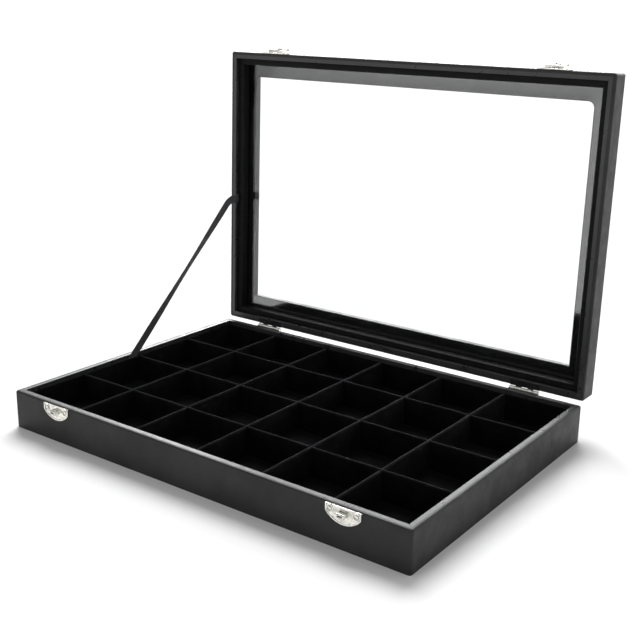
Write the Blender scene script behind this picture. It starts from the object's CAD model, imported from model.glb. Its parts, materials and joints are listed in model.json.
import json
import math

import bmesh
import bpy
from mathutils import Matrix, Vector, noise
from mathutils.geometry import interpolate_bezier


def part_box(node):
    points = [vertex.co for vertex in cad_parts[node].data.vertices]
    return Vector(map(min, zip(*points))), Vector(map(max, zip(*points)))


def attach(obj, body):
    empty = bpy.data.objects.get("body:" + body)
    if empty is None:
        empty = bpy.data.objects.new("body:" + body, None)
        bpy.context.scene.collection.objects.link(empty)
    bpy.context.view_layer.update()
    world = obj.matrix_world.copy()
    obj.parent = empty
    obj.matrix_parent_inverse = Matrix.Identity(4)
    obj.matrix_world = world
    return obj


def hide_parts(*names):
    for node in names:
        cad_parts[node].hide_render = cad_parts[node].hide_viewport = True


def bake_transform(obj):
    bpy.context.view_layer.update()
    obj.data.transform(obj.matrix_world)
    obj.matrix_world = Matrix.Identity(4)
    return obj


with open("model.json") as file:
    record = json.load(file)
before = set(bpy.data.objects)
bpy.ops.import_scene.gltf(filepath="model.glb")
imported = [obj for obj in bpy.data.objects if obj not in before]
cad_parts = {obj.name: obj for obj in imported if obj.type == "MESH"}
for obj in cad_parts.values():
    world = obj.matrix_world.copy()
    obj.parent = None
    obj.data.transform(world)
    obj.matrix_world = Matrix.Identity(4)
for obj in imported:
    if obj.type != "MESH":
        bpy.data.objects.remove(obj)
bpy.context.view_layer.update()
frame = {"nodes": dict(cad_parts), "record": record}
nodes = frame["nodes"]

# ---- Dimensions, in metres ------------------------------------------------------------
MM = 0.001
HALF_LENGTH = 175 * MM
HALF_WIDTH = 120 * MM
RIM_WIDTH = 5.5 * MM
LID_OPEN = math.radians(91.3)
HINGE_Y = 121.8 * MM
HINGE_Z = 29.25 * MM
BARREL_REACH = 1.9 * MM
BASE_RIM_Z = 29.0 * MM
LID_RIM_Z = 29.5 * MM

SKIN_EDGE = 0.35 * MM
EDGE_OF = {
    "nickel": 0.12 * MM,
    "bead": 0.5 * MM,
    "leatherette": SKIN_EDGE,
    "black_board": 0.2 * MM,
}
EDGE_ANGLE = math.radians(40)
FOLD_DEPTH = 0.3 * MM
FOLD_HALF_WIDTH = 0.5 * MM
SAME_POINT = 1e-6
ON_FOLD = 2e-6
ON_RIM = 1e-5

VELVET_STEP = 1.5 * MM
NAP_WAVE = 0.28 * MM
NAP_SWELL = 0.18 * MM
NAP_RISE = 0.22 * MM
PAD_STEP = 3.0 * MM
PAD_CROWN = 0.5 * MM
PAD_RIPPLE = 0.3
PAD_DIP = 0.6
COLUMN_PITCH = 57.0 * MM
ROW_PITCH = 58.5 * MM

RIBBON_X = -169.1 * MM
RIBBON_WIDTH = 6.8 * MM
RIBBON_THICKNESS = 0.6 * MM
RIBBON_BASE_END = Vector((RIBBON_X, -15.0 * MM, 18.5 * MM))
RIBBON_BEND = Vector((RIBBON_X, 116.1 * MM, 142.0 * MM))
RIBBON_LID_END = Vector((RIBBON_X, 133.0 * MM, 142.0 * MM))
RIBBON_BEND_REACH = 5.0 * MM
BEND_HANDLE = 0.6
BEND_POINTS = 24
RIBBON_TWIST = math.radians(22)
TWIST_START = 0.15
TWIST_SHARE = 0.75
RIB_PITCH = 0.8 * MM
RIB_DEPTH = 0.07 * MM
SELVEDGE = 0.5 * MM

CREVICE_REACH = 0.9 * MM

# ---- Lighting -------------------------------------------------------------------------
HORIZON_LIGHT = 1.1
ZENITH_LIGHT = 0.42
HORIZON_TOP = 0.1
ZENITH_FOOT = 0.45
SUN_TOWARD = (-0.6, 0.9, 1.25)
SUN_POWER = 3.3
SUN_SPREAD = math.radians(36)
REFLECTOR_PLACE = Vector((-0.9, 2.6, 0.9))
REFLECTOR_AIM = Vector((0, 0, 0.1))
REFLECTOR_SIZE = (3.4, 0.9)
REFLECTOR_POWER = 95
FLOOR_SIZE = 24

# ---- View -----------------------------------------------------------------------------
VIEW_AZIMUTH = math.radians(34.98)
VIEW_ELEVATION = math.radians(16.31)
VIEW_ROLL = math.radians(1.33)
VIEW_DISTANCE = 0.737
SENSOR_MM = 36
LENS_MM = 57.41
SHIFT_X = -0.0389
SHIFT_Y = -0.0217
AIM = Vector((0.031, 0.0145, 0.1031))


def view_camera():
    """A camera at the viewing angle, aimed into the case."""
    back = Vector((
        math.sin(VIEW_AZIMUTH) * math.cos(VIEW_ELEVATION),
        -math.cos(VIEW_AZIMUTH) * math.cos(VIEW_ELEVATION),
        math.sin(VIEW_ELEVATION),
    ))
    right = Vector((0, 0, 1)).cross(back).normalized()
    up = back.cross(right)
    right_rolled = right * math.cos(VIEW_ROLL) + up * math.sin(VIEW_ROLL)
    up_rolled = up * math.cos(VIEW_ROLL) - right * math.sin(VIEW_ROLL)
    data = bpy.data.cameras.new("view")
    data.sensor_width = SENSOR_MM
    data.lens = LENS_MM
    data.shift_x = SHIFT_X
    data.shift_y = SHIFT_Y
    data.clip_start = 0.01
    camera = bpy.data.objects.new("view", data)
    turn = Matrix((right_rolled, up_rolled, back)).transposed().to_4x4()
    camera.matrix_world = Matrix.Translation(AIM + back * VIEW_DISTANCE) @ turn
    bpy.context.scene.collection.objects.link(camera)
    bpy.context.scene.camera = camera


# ---- Materials ------------------------------------------------------------------------
class Finish:
    """A node material: one Principled shader, and the textures that feed it."""

    def __init__(self, name, roughness=0.5, **sockets):
        self.material = bpy.data.materials.new(name)
        self.material.use_nodes = True
        self.tree = self.material.node_tree
        self.shader = self.tree.nodes["Principled BSDF"]
        self.shader.inputs["Roughness"].default_value = roughness
        for socket, value in sockets.items():
            self.shader.inputs[socket.replace("_", " ")].default_value = value
        self.place = self.tree.nodes.new("ShaderNodeTexCoord").outputs["Object"]

    def node(self, kind, inputs, **settings):
        """Adds a node, links or sets its inputs, and returns it."""
        made = self.tree.nodes.new(kind)
        for setting, value in settings.items():
            setattr(made, setting, value)
        for socket, value in inputs.items():
            if isinstance(value, bpy.types.NodeSocket):
                self.tree.links.new(value, made.inputs[socket])
            else:
                made.inputs[socket].default_value = value
        return made

    def stretched(self, amounts):
        """The place on the surface, scaled along each axis."""
        return self.node("ShaderNodeMapping", {"Vector": self.place, "Scale": amounts}).outputs[0]

    def clouds(self, size, detail=3.0, place=None):
        """Soft noise with features about size metres across."""
        inputs = {"Vector": place or self.place, "Scale": 1 / size, "Detail": detail}
        return self.node("ShaderNodeTexNoise", inputs).outputs[0]

    def cells(self, size):
        """Pebbles about size metres across, low at their borders."""
        inputs = {"Vector": self.place, "Scale": 1 / size, "Randomness": 0.9}
        made = self.node("ShaderNodeTexVoronoi", inputs, feature="DISTANCE_TO_EDGE")
        return self.spread(made.outputs["Distance"], 0.0, 1.0, 0.0, 0.22)

    def spread(self, value, low, high, start=0.35, end=0.65):
        """A value between start and end, spread to lie between low and high."""
        inputs = {"Value": value, "From Min": start, "From Max": end, "To Min": low, "To Max": high}
        return self.node("ShaderNodeMapRange", inputs, interpolation_type="SMOOTHSTEP").outputs[0]

    def blend(self, factor, first, second):
        """A colour between two others."""
        made = self.node("ShaderNodeMix", {0: factor, 6: (*first, 1), 7: (*second, 1)}, data_type="RGBA")
        return made.outputs[2]

    def colour(self, value):
        self.tree.links.new(value, self.shader.inputs["Base Color"])
        return self

    def roughness(self, value):
        self.tree.links.new(value, self.shader.inputs["Roughness"])
        return self

    def relief(self, *layers):
        """Bumps from (height, depth in metres) pairs."""
        normal = None
        for height, depth in layers:
            inputs = {"Height": height, "Distance": depth, "Strength": 1.0}
            if normal:
                inputs["Normal"] = normal
            normal = self.node("ShaderNodeBump", inputs).outputs[0]
        self.tree.links.new(normal, self.shader.inputs["Normal"])
        return self


def grained(name, dark, light, gloss, grain, shine):
    """Black leatherette: pebbled grain, uneven dye and uneven gloss. A higher gloss value is duller."""
    skin = Finish(name, Specular_IOR_Level=shine)
    dye = skin.spread(skin.clouds(35 * MM), 0.0, 1.0, 0.3, 0.7)
    skin.colour(skin.blend(dye, dark, light))
    skin.roughness(skin.spread(skin.clouds(9 * MM, 5), gloss - 0.06, gloss + 0.08, 0.3, 0.7))
    return skin.relief(
        (skin.cells(grain), 0.03 * MM),
        (skin.clouds(0.35 * MM, 4), 0.025 * MM),
        (skin.clouds(18 * MM, 2), 0.04 * MM),
    ).material


def velvet():
    """Near-black flocked velvet with brushed patches of nap."""
    pile = Finish("velvet", 1.0, Sheen_Weight=0.1, Sheen_Roughness=0.35, Specular_IOR_Level=0.05)
    pile.shader.inputs["Sheen Tint"].default_value = (0.75, 0.77, 0.85, 1)
    brushed = pile.spread(pile.clouds(14 * MM, 3), 0.0, 0.7, 0.35, 0.65)
    fibres = pile.spread(pile.clouds(0.5 * MM, 2), 0.0, 0.3, 0.3, 0.7)
    nap = pile.node("ShaderNodeMath", {0: brushed, 1: fibres}, operation="ADD").outputs[0]
    pile.colour(pile.blend(nap, (0.0016, 0.0016, 0.002), (0.0055, 0.0055, 0.0062)))
    return pile.relief((pile.clouds(0.45 * MM, 3), 0.12 * MM), (pile.clouds(6 * MM), 0.3 * MM)).material


def felt():
    """The paper-felt cover under the case."""
    nap = Finish("felt", 0.95, Sheen_Weight=0.15)
    fibres = nap.clouds(0.8 * MM, 5)
    nap.colour(nap.blend(nap.spread(fibres, 0, 1), (0.006, 0.006, 0.006), (0.02, 0.02, 0.021)))
    return nap.relief((fibres, 0.15 * MM)).material


def fibreboard():
    """Raw brown fibreboard inside the coverings."""
    board = Finish("fibreboard", 0.85)
    fibres = board.clouds(1.2 * MM, 6)
    board.colour(board.blend(board.spread(fibres, 0, 1), (0.16, 0.095, 0.05), (0.3, 0.2, 0.12)))
    return board.relief((fibres, 0.1 * MM)).material


def smooth_black(name, tone, gloss, shine, tooth, **sockets):
    """Black board, moulding or enamel with faint streaks, and a fine tooth some metres deep."""
    paint = Finish(name, Specular_IOR_Level=shine, **sockets)
    streaks = paint.clouds(2.5 * MM, 4, paint.stretched((0.25, 1.0, 1.0)))
    shade = (tone * 1.8, tone * 1.8, tone * 1.9)
    paint.colour(paint.blend(paint.spread(streaks, 0, 1), (tone, tone, tone), shade))
    paint.roughness(paint.spread(streaks, gloss * 0.9, gloss * 1.13))
    return paint.relief((paint.clouds(0.6 * MM, 3), tooth)).material


def ribbon_cloth():
    """Black grosgrain: fine warp threads along the ribbon over its woven ribs."""
    cloth = Finish("ribbon", 0.75, Sheen_Weight=0.25, Sheen_Roughness=0.4)
    threads = cloth.clouds(0.25 * MM, 3)
    cloth.colour(cloth.blend(cloth.spread(threads, 0, 1), (0.012, 0.012, 0.014), (0.03, 0.03, 0.034)))
    return cloth.relief((threads, 0.05 * MM)).material


def nickel():
    """Bright plated steel, faintly scratched and tarnished."""
    plate = Finish("nickel", Metallic=1.0)
    open_to_air = plate.node(
        "ShaderNodeAmbientOcclusion", {"Distance": CREVICE_REACH}, samples=8
    ).outputs["AO"]
    clean = plate.spread(open_to_air, 0.0, 1.0, 0.35, 0.8)
    mottle = plate.spread(plate.clouds(2.4 * MM, 4), 0.6, 1.0, 0.35, 0.6)
    polish = plate.node("ShaderNodeMath", {0: clean, 1: mottle}, operation="MULTIPLY").outputs[0]
    plate.colour(plate.blend(polish, (0.04, 0.037, 0.03), (0.86, 0.85, 0.79)))
    scratches = plate.clouds(0.6 * MM, 4, plate.stretched((0.12, 1.0, 1.0)))
    plate.roughness(plate.spread(scratches, 0.16, 0.3, 0.35, 0.7))
    return plate.relief((scratches, 0.012 * MM), (plate.clouds(2 * MM, 2), 0.05 * MM)).material


def glass():
    """Clear picture glass, very slightly uneven from rolling."""
    pane = Finish("glass", 0.0, Transmission_Weight=1.0, IOR=1.5)
    pane.shader.inputs["Base Color"].default_value = (0.97, 0.985, 0.98, 1)
    return pane.relief((pane.clouds(90 * MM, 1), 0.01 * MM)).material


def studio_floor():
    """Pale seamless paper."""
    paper = Finish("floor", 0.9, Specular_IOR_Level=0.0)
    fibres = paper.clouds(2 * MM, 3)
    paper.colour(paper.blend(fibres, (0.88, 0.88, 0.88), (0.9, 0.9, 0.9)))
    return paper.material


FINISHES = {
    "leatherette": grained(
        "leatherette", (0.022, 0.022, 0.0227), (0.031, 0.031, 0.032), gloss=0.4, grain=1.0 * MM, shine=0.15
    ),
    "lining": grained(
        "lining", (0.014, 0.014, 0.0148), (0.022, 0.022, 0.023), gloss=0.32, grain=0.8 * MM, shine=0.5
    ),
    "velvet": velvet(),
    "felt": felt(),
    "fibreboard": fibreboard(),
    "black_board": smooth_black(
        "black_board", tone=0.004, gloss=0.05, shine=0.5, tooth=0.0005 * MM, IOR=2.4
    ),
    "bead": smooth_black("bead", tone=0.005, gloss=0.55, shine=0.08, tooth=0.01 * MM),
    "ribbon": ribbon_cloth(),
    "nickel": nickel(),
    "glass": glass(),
}
HINGE_ENAMEL = smooth_black("hinge_enamel", tone=0.006, gloss=0.35, shine=0.3, tooth=0.01 * MM)
SLOT_OF = {part["node"]: part["material_slot"] for part in frame["record"]["subparts"]}
BODY_OF = {
    node: body for body, held in frame["record"]["behaviour"]["bodies"].items() for node in held
}


# ---- Finished pieces ------------------------------------------------------------------
def new_piece(mesh, name, *stands_for):
    """A mesh as an object with the finish of the CAD node, or nodes, that it stands for."""
    piece = bpy.data.objects.new(name, mesh)
    bpy.context.scene.collection.objects.link(piece)
    slot = SLOT_OF[stands_for[0]]
    mesh.materials.clear()
    mesh.materials.append(FINISHES[slot])
    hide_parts(*stands_for)
    return piece


def mesh_from(points, faces, name):
    """A smooth-shaded mesh whose flat areas keep their edges."""
    mesh = bpy.data.meshes.new(name)
    mesh.from_pydata(points, [], faces)
    mesh.shade_smooth()
    mesh.set_sharp_from_angle(angle=math.radians(50))
    return mesh


def closed_turn():
    """The turn that brings an open lid piece back to the shut position."""
    pivot = Matrix.Translation((0, HINGE_Y, HINGE_Z))
    return pivot @ Matrix.Rotation(LID_OPEN, 4, "X") @ pivot.inverted()


def press_mitre_folds(work, rim_height):
    """Presses the covering's diagonal folds into a rim's four corners, at rim_height."""
    for side_x in (-1, 1):
        for side_y in (-1, 1):
            corner = Vector((side_x * HALF_LENGTH, side_y * HALF_WIDTH, 0))
            across = Vector((side_x, -side_y, 0)).normalized()
            for shift in (-FOLD_HALF_WIDTH, 0.0, FOLD_HALF_WIDTH):
                near = [face for face in work.faces
                        if any((vert.co.xy - corner.xy).length < 4 * RIM_WIDTH for vert in face.verts)]
                touched = set(near)
                touched.update(edge for face in near for edge in face.edges)
                touched.update(vert for face in near for vert in face.verts)
                bmesh.ops.bisect_plane(
                    work, geom=list(touched), dist=SAME_POINT,
                    plane_co=corner + across * shift, plane_no=across
                )
            for vert in work.verts:
                offset = vert.co - corner
                on_fold = abs(offset.dot(across)) < ON_FOLD and offset.xy.length < 2 * RIM_WIDTH
                if on_fold and abs(vert.co.z - rim_height) < ON_RIM:
                    vert.co.z += math.copysign(FOLD_DEPTH, rim_height - HINGE_Z)


def softened(node, edge, fold_at=None):
    """A finished copy of a CAD piece: its sharp edges rounded, its flat faces still shaded flat."""
    mesh = nodes[node].data.copy()
    work = bmesh.new()
    work.from_mesh(mesh)
    bmesh.ops.remove_doubles(work, verts=work.verts, dist=SAME_POINT)
    bmesh.ops.dissolve_limit(work, verts=work.verts, edges=work.edges, angle_limit=math.radians(1.5))
    if fold_at is not None:
        turn = closed_turn() if BODY_OF[node] == "lid" else Matrix()
        work.transform(turn)
        press_mitre_folds(work, fold_at)
        work.transform(turn.inverted())
    work.to_mesh(mesh)
    work.free()
    mesh.shade_smooth()
    piece = new_piece(mesh, f"{node}_finished", node)
    bevel = piece.modifiers.new("edges", "BEVEL")
    bevel.width = edge
    bevel.segments = 2
    bevel.limit_method = "ANGLE"
    bevel.angle_limit = EDGE_ANGLE
    flats = piece.modifiers.new("flats", "WEIGHTED_NORMAL")
    flats.weight = 100
    flats.keep_sharp = True
    bpy.context.view_layer.update()
    evaluated = piece.evaluated_get(bpy.context.evaluated_depsgraph_get())
    rounded = bpy.data.meshes.new_from_object(evaluated)
    piece.modifiers.clear()
    piece.data = rounded
    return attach(piece, BODY_OF[node])


def darkened_leaf(piece):
    """Blacks a hinge leaf's flat plate, or its nails, and leaves the rolled barrel bright."""
    piece.data.materials.append(HINGE_ENAMEL)
    for face in piece.data.polygons:
        from_axis = math.hypot(face.center.y - HINGE_Y, face.center.z - HINGE_Z)
        if from_axis > BARREL_REACH:
            face.material_index = 1


# ---- Velvet tray ----------------------------------------------------------------------
def wobble(place, size, seed):
    """Smooth seeded noise between about -1 and 1."""
    return noise.noise(place / size + Vector((seed * 7.3, seed * 3.1, seed * 1.7)))


def round_topped_profile(thickness, height, steps=8):
    """Half the thickness to each side, straight sides and a soft round top: (across, up) points."""
    radius = thickness / 2
    top = height - radius
    arc = [(radius * math.cos(a), top + radius * math.sin(a))
           for a in (math.pi * i / steps for i in range(steps + 1))]
    return [(radius, 0.0), (radius, top / 2), *arc, (-radius, top / 2), (-radius, 0.0)]


def velvet_strip(node, seed, wave, swell):
    """A velvet-covered upright strip in a node's place: padded, slightly uneven, with a round top."""
    low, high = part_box(node)
    along_x = high.x - low.x > high.y - low.y
    run = Vector((1, 0, 0)) if along_x else Vector((0, 1, 0))
    across = Vector((0, 1, 0)) if along_x else Vector((1, 0, 0))
    length = (high - low).dot(run)
    thickness = (high - low).dot(across)
    start = low + across * thickness / 2
    profile = round_topped_profile(thickness, high.z - low.z)
    count = round(length / VELVET_STEP)
    points = []
    for step in range(count + 1):
        place = start + run * length * step / count
        middle = place + across * wave * wobble(place, 40 * MM, seed)
        fuller = 1 + swell * wobble(place, 12 * MM, seed + 1) / thickness
        rise = NAP_RISE * wobble(place, 17 * MM, seed + 2)
        for side, up in profile:
            share = up / (high.z - low.z)
            points.append(middle + across * side * fuller + Vector((0, 0, up + rise * share)))
    size = len(profile)
    faces = [
        (row * size + i, row * size + i + 1, (row + 1) * size + i + 1, (row + 1) * size + i)
        for row in range(count) for i in range(size - 1)
    ]
    faces.append(tuple(range(size)))
    faces.append(tuple(reversed(range(count * size, (count + 1) * size))))
    faces += [(row * size + size - 1, row * size, (row + 1) * size, (row + 1) * size + size - 1)
              for row in range(count)]
    piece = new_piece(mesh_from(points, faces, node), f"{node}_velvet", node)
    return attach(piece, "base")


def velvet_floor():
    """The padded tray floor, softly crowned in each compartment."""
    node = "tray_floor_pad"
    low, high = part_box(node)
    columns = round((high.x - low.x) / PAD_STEP)
    rows = round((high.y - low.y) / PAD_STEP)
    points = []
    for row in range(rows + 1):
        for column in range(columns + 1):
            x = low.x + (high.x - low.x) * column / columns
            y = low.y + (high.y - low.y) * row / rows
            along = math.cos(math.pi * x / COLUMN_PITCH)
            crown = abs(along * math.cos(math.pi * y / ROW_PITCH + math.pi / 2))
            ripple = PAD_RIPPLE * wobble(Vector((x, y, 0)), 15 * MM, 4)
            lift = PAD_CROWN * (math.sqrt(crown) * (1 + ripple) - PAD_DIP)
            points.append((x, y, high.z + lift))
    points += [(low.x, low.y, low.z), (high.x, low.y, low.z)]
    points += [(high.x, high.y, low.z), (low.x, high.y, low.z)]
    width = columns + 1
    faces = [
        (row * width + i, row * width + i + 1, (row + 1) * width + i + 1, (row + 1) * width + i)
        for row in range(rows) for i in range(columns)
    ]
    front_left, front_right, back_right, back_left = range(width * (rows + 1), width * (rows + 1) + 4)
    faces.append((front_left, back_left, back_right, front_right))
    front = list(range(width))
    back = list(range(rows * width, rows * width + width))
    left = [row * width for row in range(rows + 1)]
    right = [row * width + columns for row in range(rows + 1)]
    faces.append((front_left, front_right, *reversed(front)))
    faces.append((back_right, back_left, *back))
    faces.append((back_left, front_left, *left))
    faces.append((front_right, back_right, *reversed(right)))
    pad = new_piece(mesh_from(points, faces, node), f"{node}_velvet", node)
    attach(pad, "base")


def make_tray():
    """Every velvet piece of the compartment tray."""
    velvet_floor()
    dividers = sorted(name for name in nodes if "divider" in name)
    for seed, node in enumerate(dividers):
        velvet_strip(node, seed, NAP_WAVE, NAP_SWELL)
    for seed, side in enumerate(("front", "back", "left", "right")):
        velvet_strip(f"liner_{side}", 20 + seed, 0.0, 0.0)


# ---- Ribbon stay ----------------------------------------------------------------------
def ribbon_line():
    """Points a rib apart along the ribbon: straight up, bending over at the lid, then its glued tail."""
    rise = (RIBBON_BEND - RIBBON_BASE_END).normalized()
    tail = (RIBBON_LID_END - RIBBON_BEND).normalized()
    before = RIBBON_BEND - rise * RIBBON_BEND_REACH
    after = RIBBON_BEND + tail * RIBBON_BEND_REACH
    bend = interpolate_bezier(
        before, before.lerp(RIBBON_BEND, BEND_HANDLE), after.lerp(RIBBON_BEND, BEND_HANDLE), after,
        BEND_POINTS
    )
    route = [RIBBON_BASE_END, *bend, RIBBON_LID_END]
    step = RIB_PITCH / 4
    line = []
    carried = 0.0
    for first, second in zip(route, route[1:]):
        run = (second - first).length
        place = carried
        while place < run:
            line.append(first.lerp(second, place / run))
            place += step
        carried = place - run
    line.append(RIBBON_LID_END)
    return line


def make_ribbon():
    """A grosgrain ribbon with woven ribs and flat selvedges, turning slightly on its way up."""
    line = ribbon_line()
    half = RIBBON_WIDTH / 2
    sides = [-half, -half + SELVEDGE, -half / 3, half / 3, half - SELVEDGE, half]
    ribbed = [False, True, True, True, True, False]
    points = []
    for index, place in enumerate(line):
        ahead = line[min(index + 1, len(line) - 1)]
        behind = line[max(index - 1, 0)]
        run = (ahead - behind).normalized()
        share = index / (len(line) - 1)
        free = math.sin(math.pi * min(1.0, max(0.0, (share - TWIST_START) / TWIST_SHARE))) ** 2
        twist = Matrix.Rotation(RIBBON_TWIST * free, 3, run)
        outward = twist @ Vector((1, 0, 0))
        width = outward.cross(run)
        rib = RIB_DEPTH * (0.5 + 0.5 * math.cos(2 * math.pi * index / 4))
        for face_side, order in ((1, range(len(sides))), (-1, reversed(range(len(sides))))):
            for i in order:
                depth = RIBBON_THICKNESS / 2 - (rib if ribbed[i] else RIB_DEPTH)
                points.append(place + width * sides[i] + outward * face_side * depth)
    size = 2 * len(sides)
    faces = [
        (row + i, row + (i + 1) % size, row + size + (i + 1) % size, row + size + i)
        for row in range(0, (len(line) - 1) * size, size) for i in range(size)
    ]
    faces.append(tuple(reversed(range(size))))
    faces.append(tuple(range((len(line) - 1) * size, len(line) * size)))
    ribbon = new_piece(mesh_from(points, faces, "ribbon"), "ribbon_stay_woven", "ribbon_stay")
    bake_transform(ribbon)


# ---- Studio ---------------------------------------------------------------------------
def softbox(name, place, aim, size, power):
    """A large soft reflector that shows only as a sheen on smooth surfaces."""
    data = bpy.data.lights.new(name, "AREA")
    data.shape = "RECTANGLE"
    data.size = size[0]
    data.size_y = size[1]
    data.energy = power
    light = bpy.data.objects.new(name, data)
    light.location = place
    light.rotation_euler = (aim - place).to_track_quat("-Z", "Y").to_euler()
    light.visible_camera = False
    light.visible_transmission = False
    light.visible_diffuse = False
    bpy.context.scene.collection.objects.link(light)


def distant_light(name, toward, power, spread):
    """A soft light from far away in the direction toward, lighting the whole floor evenly."""
    data = bpy.data.lights.new(name, "SUN")
    data.energy = power
    data.angle = spread
    light = bpy.data.objects.new(name, data)
    light.rotation_euler = Vector(toward).to_track_quat("Z", "Y").to_euler()
    bpy.context.scene.collection.objects.link(light)


def studio():
    """A white room with a pale floor, a broad soft sun and a reflector behind the case."""
    world = bpy.data.worlds.new("studio")
    bpy.context.scene.world = world
    world.use_nodes = True
    tree = world.node_tree
    direction = tree.nodes.new("ShaderNodeTexCoord").outputs["Generated"]
    height = tree.nodes.new("ShaderNodeSeparateXYZ")
    tree.links.new(direction, height.inputs[0])
    strength = tree.nodes.new("ShaderNodeMapRange")
    strength.interpolation_type = "SMOOTHSTEP"
    strength.inputs["From Min"].default_value = HORIZON_TOP
    strength.inputs["From Max"].default_value = ZENITH_FOOT
    strength.inputs["To Min"].default_value = HORIZON_LIGHT
    strength.inputs["To Max"].default_value = ZENITH_LIGHT
    tree.links.new(height.outputs["Z"], strength.inputs["Value"])
    tree.nodes["Background"].inputs["Color"].default_value = (1, 1, 1, 1)
    tree.links.new(strength.outputs[0], tree.nodes["Background"].inputs["Strength"])
    bpy.context.scene.view_settings.view_transform = "Standard"
    distant_light("behind_left", SUN_TOWARD, SUN_POWER, SUN_SPREAD)
    softbox("behind", REFLECTOR_PLACE, REFLECTOR_AIM, REFLECTOR_SIZE, REFLECTOR_POWER)
    nodes["glass_pane"].visible_shadow = False
    bpy.ops.mesh.primitive_grid_add(x_subdivisions=4, y_subdivisions=4, size=FLOOR_SIZE)
    floor = bpy.context.object
    floor.name = "floor"
    floor.data.materials.append(studio_floor())


# ---- Assembly -------------------------------------------------------------------------
for node_name, node_object in nodes.items():
    node_object.data.materials.clear()
    node_object.data.materials.append(FINISHES[SLOT_OF[node_name]])

for node_name, slot_name in SLOT_OF.items():
    if slot_name in EDGE_OF:
        finished = softened(node_name, EDGE_OF[slot_name])
        if "leaf" in node_name or node_name in ("hinge_base_nails", "hinge_lid_nails"):
            darkened_leaf(finished)
softened("base_lining", SKIN_EDGE, fold_at=BASE_RIM_Z)
softened("lid_lining", SKIN_EDGE, fold_at=LID_RIM_Z)
make_tray()
make_ribbon()
view_camera()
studio()
